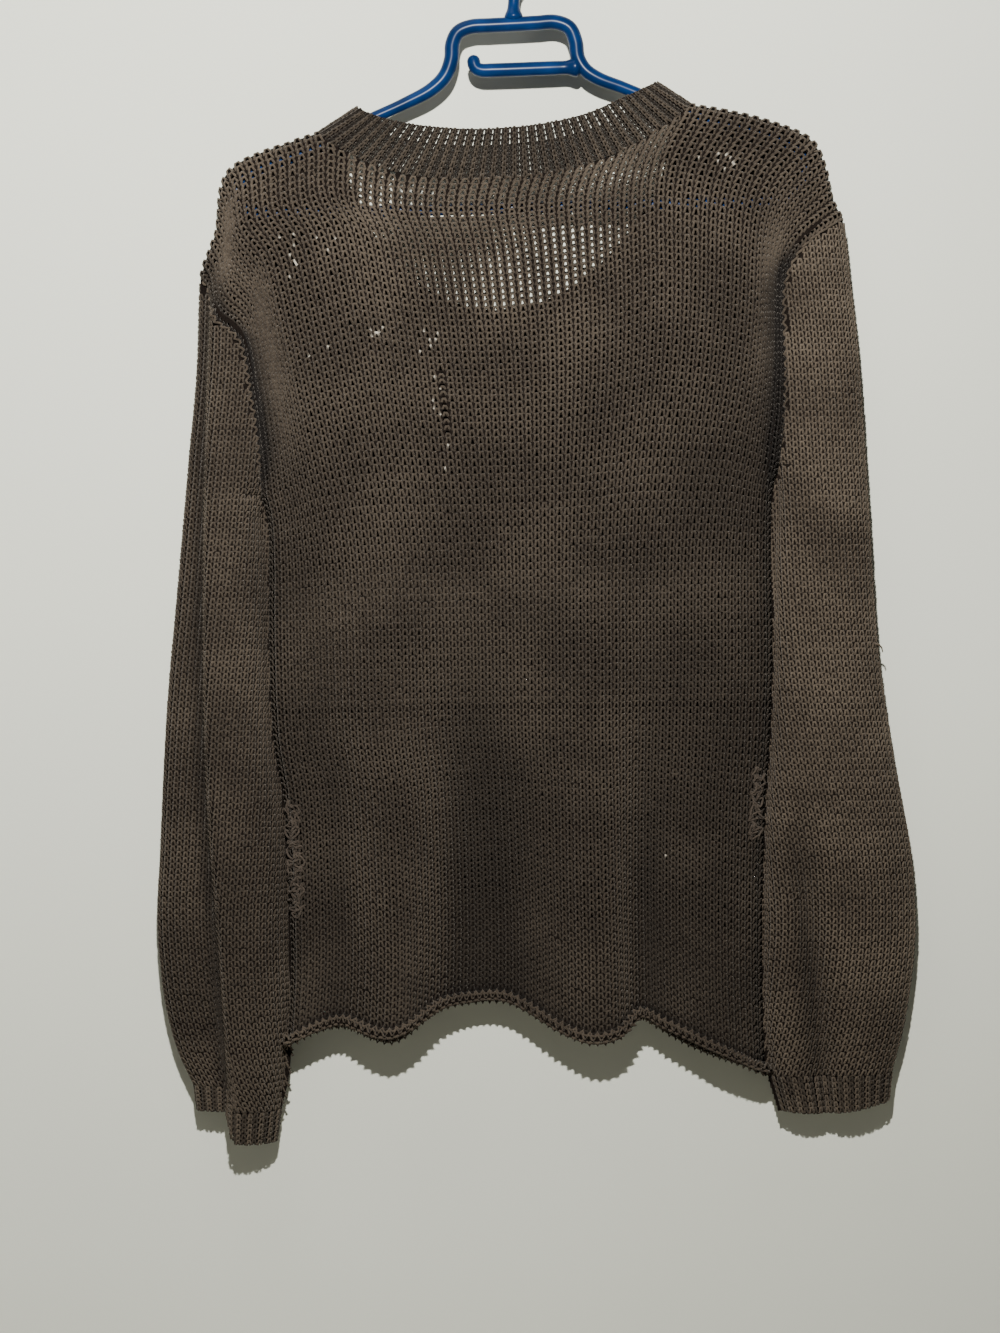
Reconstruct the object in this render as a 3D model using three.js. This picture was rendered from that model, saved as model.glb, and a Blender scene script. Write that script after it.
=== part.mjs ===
// A long-sleeved, open-gauge knit pullover hung on a moulded plastic hanger.
//
// Millimetres, +Z up, +X to the wearer's right side as hung, the garment's back facing -Y.
// The origin is inside the top of the hanger's hook, where a nail or a rod carries it.
// Every knit piece is a thin wall with its real openings: neck, hem, cuffs and armholes are open.
import * as THREE from 'three';

// ---- Driving dimensions -------------------------------------------------------------------

const KNIT_WALL = 2.4;        // thickness of the stockinette panels and sleeves
const RIB_WALL = 3.0;         // thickness of the ribbed neckband and cuffs
const SEAM = 0.4;             // clear gap where two sewn edges face each other
const PANEL_LENGTH = 600;     // shoulder to hem along the cloth, which scales the top rounding
const NECK = 0.467;           // half width of the neck, as a share of half a panel's stitches
const UNDERARM = 0.364;       // share of a panel's rows above the underarm
const BACK_NECK_DROP = 0.038; // depth of the back neckline, as a share of the rows
const FRONT_NECK_DROP = 0.245;

const SHOULDER_ROLL = 9;      // radius of the cloth going over the shoulder line
const SIDE_ROLL = 16;         // radius of the cloth turning at the side seams
const UNDERARM_ROLL = 12;
const BAND_ROLL = 6;          // radius of the neckband going over the shoulder
const BAND_DEPTH = { back: 11, front: 9 }; // how far its free edge stands from the hanger's plane
const NECK_PULL = { left: 18, right: 30 };
const FOLD_GAP = 4.0;         // between panel and neckband where both turn over the shoulder
const PIT_GAP = 3.2;          // between the middles of panel and sleeve at the underarm

// Where the neckline's grid points stand, as shares of its depth, closer where it meets the shoulder.
const NECK_DEPTHS = [0, 0.03, 0.08, 0.18, 0.32, 0.5, 0.68, 0.85, 0.96, 1];
const NECK_STEPS = 2 * (NECK_DEPTHS.length - 1);
const NECK_CURVE = 2.2;       // exponent of the neckline's superellipse
const NECK_FAN = 0.2;         // share of the rows over which the neck's columns become even
const SHOULDER_STEPS = 6;     // grid steps across each shoulder
const ARMHOLE_STEPS = 8;      // grid steps down each armhole
const SIDE_STEPS = 11;        // grid steps from underarm to hem
const SLEEVE_STEPS = 15;      // rings down each sleeve

const TUBE = 4;               // radius of the hanger's moulded tube
const FRAME_TUBE = 4.6;       // radius of its neck frame and of the tie bar inside that
const TUBE_SIDES = 5;         // curve segments in each half of a tube's section

// ---- Outlines, as [x, z] points that smooth curves pass through ----------------------------

const LEFT_SHOULDER = [
  [-217, -247], [-214, -236], [-206, -214], [-203, -185], [-196, -171], [-135, -146],
];
const NECK_LINE = [[-135, -146], [-79, -159], [0, -161], [66, -150], [121, -127]];
const RIGHT_SHOULDER = [
  [121, -127], [169, -137], [205, -152], [214, -170], [218, -190], [226, -206],
];
const LEFT_ARMHOLE = [
  [-217, -247], [-211, -255], [-206, -277], [-190, -291], [-181, -331], [-176, -373], [-174, -400],
];
const RIGHT_ARMHOLE = [
  [226, -206], [199, -226], [188, -244], [185, -261], [186, -304], [185, -344], [181, -379],
];
const LEFT_SIDE = [
  [-174, -400], [-170, -414], [-169, -442], [-169, -504], [-166, -566], [-159, -607], [-155, -676],
  [-154, -731], [-156.5, -778],
];
const RIGHT_SIDE = [
  [181, -379], [177, -393], [176, -442], [177, -504], [175, -566], [172, -607], [170, -676], [170, -745],
  [172, -797],
];
const HEM = [
  [-156.5, -778], [-142, -769], [-117, -762], [-83, -770], [-52, -751], [-28, -747], [-3, -747], [31, -766],
  [52, -773], [67, -770], [82, -757], [103, -765], [128, -776], [172, -797],
];

const RIGHT_SLEEVE = {
  outer: [
    [226, -206], [231, -252], [236, -297], [243, -400], [250, -504], [261, -580], [273, -649],
    [275, -704], [268, -759], [259, -795],
  ],
  inner: [
    [176, -200], [176, -300], [180, -372], [183.5, -388], [181, -442], [180.5, -504], [178.6, -566],
    [175.6, -607], [173.6, -676], [174, -745], [178, -797],
  ],
  innerRows: [-379, -384, -392, -405, -424, -448, -480, -797], // heights of the first rings
  cuffOuter: [257, -814],
  cuffInner: [185, -821],
};
const LEFT_SLEEVE = {
  outer: [
    [-217, -247], [-219, -310], [-224, -366], [-233, -469], [-239, -538], [-244, -642],
    [-246, -690], [-241, -745], [-232, -780], [-221, -804],
  ],
  inner: [
    [-166, -240], [-170, -331], [-173, -393], [-176.5, -410], [-174, -442], [-173, -504], [-170, -566],
    [-163, -607], [-159, -676], [-158, -731], [-160, -773], [-163, -820],
  ],
  innerRows: [-400, -405, -412, -424, -441, -463, -492, -820],
  cuffOuter: [-219, -821],
  cuffInner: [-166, -842],
};
const LOBE_EDGE = [ // where the left sleeve's near lobe steps back to its far lobe
  [-208, -262], [-211, -331], [-213, -504], [-210, -607], [-202, -711], [-195, -820],
];

const BAND_BACK_TOP = [
  [99, -113], [73, -125], [47, -136], [7, -144], [-32, -146], [-75, -142], [-101, -135],
  [-110, -130],
];
const BAND_FRONT_EDGE = [
  [-110, -130], [-116, -152], [-115, -179], [-97, -221], [-59, -255], [-17, -268], [24, -260],
  [59, -236], [99, -183], [106, -145], [99, -113],
];

// ---- Small tools --------------------------------------------------------------------------

const clamp01 = (t) => Math.min(1, Math.max(0, t));
const lerp = (a, b, t) => a + (b - a) * t;
const bell = (t, centre, width) => Math.exp(-(((t - centre) / width) ** 2));

function smooth(from, to, t) {
  const s = clamp01((t - from) / (to - from));
  return s * s * (3 - 2 * s);
}

// A quarter round that leaves the edge square and is level past its radius.
const quarterRound = (distance, radius) => Math.sqrt(1 - (1 - clamp01(distance / radius)) ** 2);

function curveThrough(points) {
  const curve = new THREE.CatmullRomCurve3(points.map(([x, z]) => new THREE.Vector3(x, 0, z)));
  curve.arcLengthDivisions = 400;
  return (share) => curve.getPointAt(clamp01(share));
}

// x of an outline at a height, for outlines that run downwards.
function outlineAt(points) {
  const path = curveThrough(points);
  const samples = Array.from({ length: 401 }, (_, i) => path(i / 400));
  return (z) => {
    if (z >= samples[0].z) return samples[0].x;
    for (let i = 1; i < samples.length; i++) {
      const [a, b] = [samples[i - 1], samples[i]];
      if (z >= b.z) return lerp(a.x, b.x, (a.z - z) / Math.max(1e-6, a.z - b.z));
    }
    return samples.at(-1).x;
  };
}

// ---- Sleeve surface -----------------------------------------------------------------------

function sleeveShape(spec, isLeft) {
  const edges = isLeft ? [spec.outer, spec.inner] : [spec.inner, spec.outer];
  const low = outlineAt(edges[0]);
  const high = outlineAt(edges[1]);
  const lobe = outlineAt(LOBE_EDGE);
  // Depth of the near (-1) or far (+1) face from the hanger's plane.
  return (face, x, z) => {
    const [from, to] = [low(z), high(z)];
    const across = (x - (from + to) / 2) / ((to - from) / 2);
    const crown = Math.sqrt(Math.max(0, 1 - Math.abs(across) ** 2.4));
    const full = 12 + 5 * bell(z, -650, 130);
    if (isLeft) {
      const step = smooth(-4, 4, x - lobe(z)) * 2 - 1;
      return crown * (face < 0 ? full + 6 * step : full - 5 * step);
    }
    const trough = 8 * smooth(-600, -690, z) * bell(x, lerp(197, 211, smooth(-620, -790, z)), 9);
    return crown * (face < 0 ? full - trough : full);
  };
}

const rightDepth = sleeveShape(RIGHT_SLEEVE, false);
const leftDepth = sleeveShape(LEFT_SLEEVE, true);

// ---- Body surface: share of stitches across p (-1 to 1), share of rows down q (0 to 1) -----

const leftShoulder = curveThrough(LEFT_SHOULDER);
const neckLine = curveThrough(NECK_LINE);
const rightShoulder = curveThrough(RIGHT_SHOULDER);
const leftArmhole = curveThrough(LEFT_ARMHOLE);
const rightArmhole = curveThrough(RIGHT_ARMHOLE);
const leftSide = curveThrough(LEFT_SIDE);
const rightSide = curveThrough(RIGHT_SIDE);
const hem = curveThrough(HEM);

function shoulderLine(p) {
  if (p < -NECK) return leftShoulder((p + 1) / (1 - NECK));
  if (p > NECK) return rightShoulder((p - NECK) / (1 - NECK));
  return neckLine((p / NECK + 1) / 2);
}

function sideEdge(right, q) {
  const [armhole, side] = right ? [rightArmhole, rightSide] : [leftArmhole, leftSide];
  return q < UNDERARM ? armhole(q / UNDERARM) : side((q - UNDERARM) / (1 - UNDERARM));
}

// Stitches stand wider apart in the middle of the chest than where the cloth turns at the sides.
function spread(p, q) {
  const middle = 1.04 + 0.3 * bell(q, 0.17, 0.2);
  return middle * p + (1 - middle) * p ** 3;
}

function ruled(t, q) {
  const [a, b] = [sideEdge(false, q), sideEdge(true, q)];
  return a.clone().lerp(b, (t + 1) / 2);
}

// Soft flutes that grow towards the hem, in millimetres towards the face's own side.
function flutes(face, p, q) {
  const grow = smooth(0.25, 0.95, q);
  if (face < 0) {
    return grow * (8 * bell(p, -0.53, 0.17) + 7 * bell(p, 0.29, 0.14) + 6 * bell(p, 0.8, 0.14)
      - 7 * bell(p, -0.2, 0.18) - 4 * bell(p, 0.49, 0.1) - 3 * bell(p, -0.76, 0.1));
  }
  return grow * (4 * bell(p, -0.3, 0.2) + 4 * bell(p, 0.45, 0.18) - 3 * bell(p, 0.1, 0.15)
    - 3 * bell(p, -0.7, 0.14));
}

// Depth of a panel's edge at an armhole, shared with the sleeve sewn to it.
function armholeDepth(face, right, q) {
  const edge = sideEdge(right, q);
  const depth = right ? rightDepth(face, edge.x, edge.z) : leftDepth(face, edge.x, edge.z);
  return depth * quarterRound(q * PANEL_LENGTH, SHOULDER_ROLL)
    * quarterRound((UNDERARM - q) * PANEL_LENGTH, UNDERARM_ROLL);
}

// The front's stitches are drawn outwards around its deep neck opening.
function neckPull(p, q) {
  const reach = Math.abs(p) < NECK ? (p / NECK) ** 2 : (1 - Math.abs(p)) / (1 - NECK);
  const pull = p < 0 ? -NECK_PULL.left : NECK_PULL.right;
  return pull * reach * smooth(0, 0.06, q) * (1 - smooth(0.1, 0.3, q));
}

function bodyPoint(face, p, q) {
  const t = spread(p, q);
  const point = ruled(t, q);
  const top = shoulderLine(p).sub(ruled(spread(p, 0), 0));
  const bottom = hem((p + 1) / 2).sub(ruled(p, 1));
  point.addScaledVector(top, (1 - clamp01(q / 0.62)) ** 1.4);
  point.addScaledVector(bottom, smooth(0.55, 1, q));
  if (face > 0) point.x += neckPull(p, q);
  if (face > 0) point.z -= 4 * smooth(0.7, 1, q) * (bell(p, -0.55, 0.3) + bell(p, 0.7, 0.25));
  const halfWidth = ruled(0, q).distanceTo(sideEdge(true, q));
  const right = p > 0;
  const edge = q < UNDERARM ? armholeDepth(face, right, q) : 0;
  const full = (face < 0 ? 7.5 : 7) + (face < 0 ? 7 : 4) * smooth(0, 0.6, q) + flutes(face, p, q);
  const turn = quarterRound((1 - Math.abs(t)) * halfWidth, SIDE_ROLL);
  const over = quarterRound(q * PANEL_LENGTH, SHOULDER_ROLL);
  const depth = edge + (full * over - edge) * turn;
  point.y = face * Math.max(depth, SEAM / 2);
  return point;
}

// ---- Walls from grids of points -----------------------------------------------------------

function gridNormals(grid, ring, outward) {
  const rows = grid.length;
  const columns = grid[0].length;
  return grid.map((row, j) => row.map((point, i) => {
    const before = ring ? (i + columns - 1) % columns : Math.max(0, i - 1);
    const after = ring ? (i + 1) % columns : Math.min(columns - 1, i + 1);
    const across = row[after].clone().sub(row[before]);
    const down = grid[Math.min(rows - 1, j + 1)][i].clone().sub(grid[Math.max(0, j - 1)][i]);
    const normal = across.cross(down).normalize();
    return normal.dot(outward(point, i, j)) < 0 ? normal.negate() : normal;
  }));
}

function wall(grid, normals, thickness, ring) {
  const rows = grid.length;
  const columns = grid[0].length;
  const positions = [];
  for (const side of [0.5, -0.5]) {
    for (let j = 0; j < rows; j++) {
      for (let i = 0; i < columns; i++) {
        positions.push(...grid[j][i].clone().addScaledVector(normals[j][i], side * thickness));
      }
    }
  }
  const at = (side, j, i) => side * rows * columns + j * columns + (i % columns);
  const index = [];
  const quad = (a, b, c, d) => index.push(a, b, c, a, c, d);
  const steps = ring ? columns : columns - 1;
  for (let i = 0; i < steps; i++) {
    for (let j = 0; j < rows - 1; j++) {
      quad(at(0, j, i), at(0, j + 1, i), at(0, j + 1, i + 1), at(0, j, i + 1));
      quad(at(1, j, i), at(1, j, i + 1), at(1, j + 1, i + 1), at(1, j + 1, i));
    }
    quad(at(0, 0, i), at(0, 0, i + 1), at(1, 0, i + 1), at(1, 0, i));
    quad(at(1, rows - 1, i), at(1, rows - 1, i + 1), at(0, rows - 1, i + 1), at(0, rows - 1, i));
  }
  if (!ring) {
    for (let j = 0; j < rows - 1; j++) {
      const last = columns - 1;
      quad(at(1, j, 0), at(1, j + 1, 0), at(0, j + 1, 0), at(0, j, 0));
      quad(at(0, j, last), at(0, j + 1, last), at(1, j + 1, last), at(1, j, last));
    }
  }
  const geometry = new THREE.BufferGeometry();
  geometry.setAttribute('position', new THREE.Float32BufferAttribute(positions, 3));
  geometry.setIndex(signedVolume(positions, index) < 0 ? index.reverse() : index);
  geometry.computeVertexNormals();
  return geometry;
}

function signedVolume(positions, index) {
  const corner = (k) => new THREE.Vector3().fromArray(positions, 3 * index[k]);
  let sum = 0;
  for (let k = 0; k < index.length; k += 3) {
    sum += corner(k).dot(corner(k + 1).cross(corner(k + 2)));
  }
  return sum;
}

// ---- Panels -------------------------------------------------------------------------------

const group = new THREE.Group();

const wool = (color) => new THREE.MeshStandardMaterial({ color, roughness: 0.95, metalness: 0 });
const plastic = new THREE.MeshStandardMaterial({ color: 0x1b4f96, roughness: 0.25, metalness: 0 });

function add(name, geometry, material) {
  const mesh = new THREE.Mesh(geometry, material);
  mesh.name = name;
  group.add(mesh);
}

// The panel's columns at its top edge: even over the shoulders, fitted to the neckline between them.
function panelColumns(face) {
  const columns = [];
  for (let i = 0; i < SHOULDER_STEPS; i++) columns.push(lerp(-1, -NECK, i / SHOULDER_STEPS));
  for (let i = 0; i <= NECK_STEPS; i++) {
    const fromSide = Math.min(i, NECK_STEPS - i);
    const side = i < NECK_STEPS / 2 ? -1 : 1;
    const reach = face > 0
      ? (1 - NECK_DEPTHS[fromSide] ** NECK_CURVE) ** (1 / NECK_CURVE)
      : Math.abs(Math.cos((Math.PI * i) / NECK_STEPS)) ** 0.9;
    columns.push(side * NECK * reach);
  }
  for (let i = 1; i <= SHOULDER_STEPS; i++) columns.push(lerp(NECK, 1, i / SHOULDER_STEPS));
  return columns;
}

// Below the neckline its columns fan out until they are even.
function fanned(columns, i, row) {
  const k = i - SHOULDER_STEPS;
  if (k <= 0 || k >= NECK_STEPS) return columns[i];
  return lerp(columns[i], NECK * (2 * k / NECK_STEPS - 1), clamp01(row / NECK_FAN) ** 3);
}

function panelRows() {
  const rows = [];
  for (let j = 0; j <= ARMHOLE_STEPS; j++) {
    rows.push(UNDERARM * (1 - Math.cos((Math.PI * j) / ARMHOLE_STEPS)) / 2);
  }
  for (let j = 1; j <= SIDE_STEPS; j++) rows.push(lerp(UNDERARM, 1, j / SIDE_STEPS));
  return rows;
}

function necklineRow(face, p) {
  const inside = 1 - (Math.abs(p) / NECK) ** NECK_CURVE;
  if (inside <= 1e-9) return 0;
  return (face < 0 ? BACK_NECK_DROP : FRONT_NECK_DROP) * inside ** (1 / NECK_CURVE);
}

function buildPanel(face) {
  const columns = panelColumns(face);
  const grid = panelRows().map((row) => columns.map((p, i) => {
    const start = necklineRow(face, p);
    return bodyPoint(face, fanned(columns, i, row), start + row * (1 - start));
  }));
  const normals = gridNormals(grid, false, () => new THREE.Vector3(0, face, 0));
  const last = columns.length - 1;
  const flatten = (normal, outwards) => {
    normal.y = 0;
    if (normal.lengthSq() < 0.01) normal.copy(outwards);
    normal.normalize();
    if (normal.dot(outwards) < 0) normal.negate();
  };
  // The shoulder line and side seams meet the other panel square on.
  const neckFirst = SHOULDER_STEPS;
  const neckLast = SHOULDER_STEPS + NECK_STEPS;
  for (let i = 0; i <= last; i++) {
    if (i > neckFirst && i < neckLast) continue;
    const along = shoulderLine(columns[Math.min(last, i + 1)])
      .sub(shoulderLine(columns[Math.max(0, i - 1)]));
    normals[0][i].set(-along.z, 0, along.x).normalize();
  }
  for (let j = 1; j < grid.length; j++) {
    for (const [i, side] of [[0, -1], [last, 1]]) {
      if (j < ARMHOLE_STEPS) normals[j][i].copy(armholeNormal(face, side, side, j));
      else flatten(normals[j][i], new THREE.Vector3(side, 0, 0));
    }
  }
  return { grid, normals };
}

// The normal along the armhole, which a panel and its sleeve share but for the underarm, where the
// panel looks outwards (under = side) and the sleeve inwards (under = -side).
function armholeNormal(face, side, under, j) {
  const share = j / ARMHOLE_STEPS;
  const level = armholeLevel(share);
  const rim = share < 0.5 ? new THREE.Vector3(side, 0, 0.6).normalize() : new THREE.Vector3(under, 0, 0);
  return rim.multiplyScalar(1 - level).add(new THREE.Vector3(0, face * level, 0)).normalize();
}

// How squarely the cloth at the armhole faces front or back: not at its two ends.
function armholeLevel(share) {
  return Math.sin(Math.PI * share) ** 0.6;
}

const back = buildPanel(-1);
const front = buildPanel(1);
add('back_panel', wall(back.grid, back.normals, KNIT_WALL, false), wool(0x403730));
add('front_panel', wall(front.grid, front.normals, KNIT_WALL, false), wool(0x3d342d));

// ---- Neckband: a ring from the neckline seam to its free edge ------------------------------

function neckLoop() {
  const first = SHOULDER_STEPS;
  const seam = [];
  const normals = [];
  const take = (panel, i) => {
    seam.push(panel.grid[0][i].clone());
    normals.push(panel.normals[0][i].clone());
  };
  for (let i = first + NECK_STEPS; i > first; i--) take(back, i);
  for (let i = first; i < first + NECK_STEPS; i++) take(front, i);
  seam[0].y = 0;
  seam[NECK_STEPS].y = 0;
  return { seam, normals };
}

// The band's free edge, each point as far along its half as the seam's point is.
function bandEdge(seam) {
  const halves = [
    { path: curveThrough(BAND_BACK_TOP), length: 235, depth: -BAND_DEPTH.back, first: 0 },
    { path: curveThrough(BAND_FRONT_EDGE), length: 440, depth: BAND_DEPTH.front, first: NECK_STEPS },
  ];
  const edge = [];
  for (const { path, length, depth, first } of halves) {
    const walked = [0];
    for (let i = 1; i <= NECK_STEPS; i++) {
      const here = seam[(first + i) % seam.length];
      walked.push(walked[i - 1] + here.distanceTo(seam[first + i - 1]));
    }
    for (let i = 0; i < NECK_STEPS; i++) {
      const share = walked[i] / walked[NECK_STEPS];
      const point = path(share);
      point.y = depth * quarterRound(Math.min(share, 1 - share) * length, BAND_ROLL);
      edge.push(point);
    }
  }
  return edge;
}

const NECK_CENTRE = new THREE.Vector3(-5, 0, -190);

function buildBand() {
  const { seam, normals: seamNormals } = neckLoop();
  const free = bandEdge(seam);
  const count = seam.length;
  const start = seam.map((point, i) => {
    const along = seam[(i + 1) % count].clone().sub(seam[(i + count - 1) % count]);
    const away = along.cross(seamNormals[i]).normalize();
    const inwards = i <= NECK_STEPS ? free[i] : NECK_CENTRE;
    if (away.dot(inwards.clone().sub(point)) < 0) away.negate();
    const fromFold = Math.min(i % NECK_STEPS, NECK_STEPS - (i % NECK_STEPS));
    return point.clone().addScaledVector(away, lerp(FOLD_GAP, 3 * SEAM, clamp01((fromFold - 2) / 5)));
  });
  const grid = [start, free];
  const normals = gridNormals(grid, true, (point, i) => seamNormals[i]);
  normals[0] = seamNormals;
  return wall(grid, normals, RIB_WALL, true);
}

add('neckband', buildBand(), wool(0x4d453c));

// ---- Sleeves and cuffs --------------------------------------------------------------------

function buildSleeve(spec, right) {
  const depthAt = right ? rightDepth : leftDepth;
  const around = 2 * ARMHOLE_STEPS;
  const outerEdge = curveThrough(spec.outer);
  const innerAt = outlineAt(spec.inner);
  const side = right ? 1 : -1;
  const corner = sideEdge(right, 0);
  const pit = sideEdge(right, UNDERARM);
  const innerZ = (s) => {
    const rows = spec.innerRows;
    const early = rows.length - 2;
    const k = s * SLEEVE_STEPS;
    if (k <= early) return lerp(rows[Math.floor(k)], rows[Math.min(early, Math.floor(k) + 1)], k % 1);
    return lerp(rows[early], rows[early + 1], (k - early) / (SLEEVE_STEPS - early));
  };
  const grid = [];
  for (let j = 0; j <= SLEEVE_STEPS; j++) {
    const s = j / SLEEVE_STEPS;
    const outer = outerEdge(s);
    const z = innerZ(s);
    const inner = j ? new THREE.Vector3(innerAt(z), 0, z) : pit.clone();
    const bow = (1 - clamp01(s / 0.36)) ** 2;
    const ring = [];
    for (let i = 0; i < around; i++) {
      const face = i <= ARMHOLE_STEPS ? -1 : 1;
      const step = i <= ARMHOLE_STEPS ? i : around - i;
      const share = (1 - Math.cos((Math.PI * step) / ARMHOLE_STEPS)) / 2;
      const seam = sideEdge(right, share * UNDERARM);
      const point = outer.clone().lerp(inner, share);
      point.addScaledVector(seam.sub(corner.clone().lerp(pit, share)), bow);
      const atEdge = step === 0 || step === ARMHOLE_STEPS;
      if (j === 0) {
        point.y = atEdge ? 0 : face * armholeDepth(face, right, share * UNDERARM);
      } else {
        point.y = atEdge ? 0 : face * Math.max(1.6, depthAt(face, point.x, point.z));
      }
      ring.push(point);
    }
    grid.push(ring);
  }
  // The first ring stands off from the armhole by the seam's gap.
  const first = grid[0].map((point) => point.clone());
  for (let i = 0; i < around; i++) {
    const step = i <= ARMHOLE_STEPS ? i : around - i;
    const [a, b] = [Math.max(0, step - 1), Math.min(ARMHOLE_STEPS, step + 1)];
    const along = first[b].clone().sub(first[a]);
    const away = new THREE.Vector3(-along.z * side, 0, along.x * side).normalize();
    if (step === 0) away.set(side * 0.5, 0, -0.86);
    const share = step / ARMHOLE_STEPS;
    grid[0][i].addScaledVector(away, SEAM * 1.5);
    if (share > 0.5) grid[0][i].x += side * PIT_GAP * (1 - armholeLevel(share));
  }
  const middle = (j) => grid[j][0].clone().lerp(grid[j][ARMHOLE_STEPS], 0.5);
  const normals = gridNormals(grid, true, (point, i, j) => point.clone().sub(middle(j)));
  for (let i = 0; i < around; i++) {
    const face = i <= ARMHOLE_STEPS ? -1 : 1;
    const step = i <= ARMHOLE_STEPS ? i : around - i;
    if (step > 0) normals[0][i].copy(armholeNormal(face, side, -side, step));
    const end = normals[SLEEVE_STEPS][i];
    end.z = 0;
    end.normalize();
  }
  for (let j = 1; j <= SLEEVE_STEPS; j++) {
    for (const [i, way] of [[0, side], [ARMHOLE_STEPS, -side]]) {
      normals[j][i].y = 0;
      if (normals[j][i].x * way < 0) normals[j][i].negate();
      normals[j][i].normalize();
    }
  }
  return { grid, normals };
}

function buildCuff(spec, sleeve, right) {
  const top = sleeve.grid.at(-1);
  const normals = sleeve.normals.at(-1);
  const [outer, inner] = [top[0], top[ARMHOLE_STEPS]];
  const start = top.map((point) => point.clone().add(new THREE.Vector3(0, 0, -1.5 * SEAM)));
  const end = top.map((point) => {
    const share = (point.x - outer.x) / (inner.x - outer.x);
    const x = lerp(spec.cuffOuter[0], spec.cuffInner[0], share);
    const z = lerp(spec.cuffOuter[1], spec.cuffInner[1], share) - (right ? 4 : 0) * Math.sin(Math.PI * share);
    return new THREE.Vector3(x, point.y * 0.85, z);
  });
  return wall([start, end], [normals, normals], RIB_WALL, true);
}

for (const [name, spec, right] of [['left', LEFT_SLEEVE, false], ['right', RIGHT_SLEEVE, true]]) {
  const sleeve = buildSleeve(spec, right);
  add(`${name}_sleeve`, wall(sleeve.grid, sleeve.normals, KNIT_WALL, true), wool(0x453b33));
  add(`${name}_cuff`, buildCuff(spec, sleeve, right), wool(0x4a4138));
}

// ---- Hanger: one moulding, split where its tubes meet -------------------------------------

function tube(points, radius, steps) {
  const section = new THREE.Shape();
  section.absarc(0, 0, radius, 0, 2 * Math.PI, false);
  const path = new THREE.CatmullRomCurve3(points.map(([x, z]) => new THREE.Vector3(x, 0, z)));
  return new THREE.ExtrudeGeometry(section, {
    steps, extrudePath: path, bevelEnabled: false, curveSegments: TUBE_SIDES,
  });
}

const HANGER = {
  hanger_hook: [[
    [-1, -66.7], [-1, -58], [1, -46], [13, -35], [20, -20], [17, -5], [8, 2.4], [0, TUBE],
    [-9, 2], [-17, -5], [-20, -16], [-19, -24],
  ], TUBE, 30],
  hanger_neck_frame: [[
    [-96.9, -135.9], [-76, -126.5], [-58, -117], [-48.4, -107.5], [-44, -95.5], [-43.3, -85.5],
    [-39.5, -77.5], [-31, -73.6], [-16.8, -72.6], [-1, -71.8], [14.9, -70.9], [28, -70.3],
    [37.5, -74.3], [41.8, -84], [43.3, -94.8], [48.4, -103.2], [57.7, -109.3], [74, -115.3],
    [93.7, -123.2],
  ], FRAME_TUBE, 46],
  hanger_left_arm: [[
    [-97.8, -136.3], [-132, -155.7], [-170, -170], [-185, -178], [-192, -185], [-192, -194],
    [-185, -200.6], [-170, -202.3],
  ], TUBE, 22],
  hanger_right_arm: [[
    [94.3, -123.4], [121, -135], [169, -148], [189, -156], [198, -164], [200, -177],
    [196, -188], [188, -193], [180, -194],
  ], TUBE, 22],
  hanger_trouser_bar: [[[-169.4, -202.5], [0, -198.6], [179.2, -194.3]], TUBE, 6],
  hanger_tie_bar: [[
    [38.4, -101.6], [20, -102.3], [-16, -103.6], [-23.1, -103.6], [-27, -102], [-28.6, -98.1],
    [-28.6, -95.5],
  ], FRAME_TUBE, 24],
};
for (const [name, [points, radius, steps]] of Object.entries(HANGER)) {
  add(name, tube(points, radius, steps), plastic);
}

export default group;
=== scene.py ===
"""A worn, open-gauge wool pullover hung back side forward on a blue moulded hanger.

Outlines and surface shapes are worked in millimetres, as the garment is cut, and meshes are made
in metres. Each knit part is two pieces on one surface: a thin sheet of matted fibres, its dark
colour painted shade between the loops, and the yarn that runs through it stitch by stitch.
"""
import math
from collections import namedtuple

import bpy
import numpy as np
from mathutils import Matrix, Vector


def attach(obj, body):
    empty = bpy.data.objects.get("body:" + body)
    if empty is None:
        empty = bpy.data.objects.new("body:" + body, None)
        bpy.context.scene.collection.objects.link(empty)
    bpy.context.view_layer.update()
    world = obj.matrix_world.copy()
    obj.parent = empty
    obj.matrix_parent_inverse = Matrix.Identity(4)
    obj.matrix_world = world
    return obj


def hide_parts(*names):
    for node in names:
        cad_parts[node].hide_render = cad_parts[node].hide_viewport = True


MM = 0.001

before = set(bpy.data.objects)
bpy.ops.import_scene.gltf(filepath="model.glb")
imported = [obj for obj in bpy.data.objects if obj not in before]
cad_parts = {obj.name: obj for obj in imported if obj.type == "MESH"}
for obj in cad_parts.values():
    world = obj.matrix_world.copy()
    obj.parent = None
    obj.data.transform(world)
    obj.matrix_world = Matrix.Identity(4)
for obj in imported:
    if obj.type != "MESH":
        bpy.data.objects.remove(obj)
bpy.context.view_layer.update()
chance = np.random.default_rng(41)

# ---- Driving dimensions, as the frame's part is made ---------------------------------------------

PANEL_LENGTH = 600
NECK, UNDERARM = 0.467, 0.364
BACK_NECK_DROP, FRONT_NECK_DROP, NECK_CURVE = 0.038, 0.245, 2.2
SHOULDER_ROLL, SIDE_ROLL, UNDERARM_ROLL, BAND_ROLL = 9, 10, 12, 6
BAND_DEPTH = {"back": 11, "front": 9}
BAND_LENGTH = {"back": 235, "front": 440}
NECK_PULL = {"left": 18, "right": 30}
SEAM_HALF = 0.2
TUBE, FRAME_TUBE = 4, 4.6     # radii of the hanger's mouldings
RIDGE_PITCH = 0.0024          # of the ridges along the hanger's arms, in metres

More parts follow.
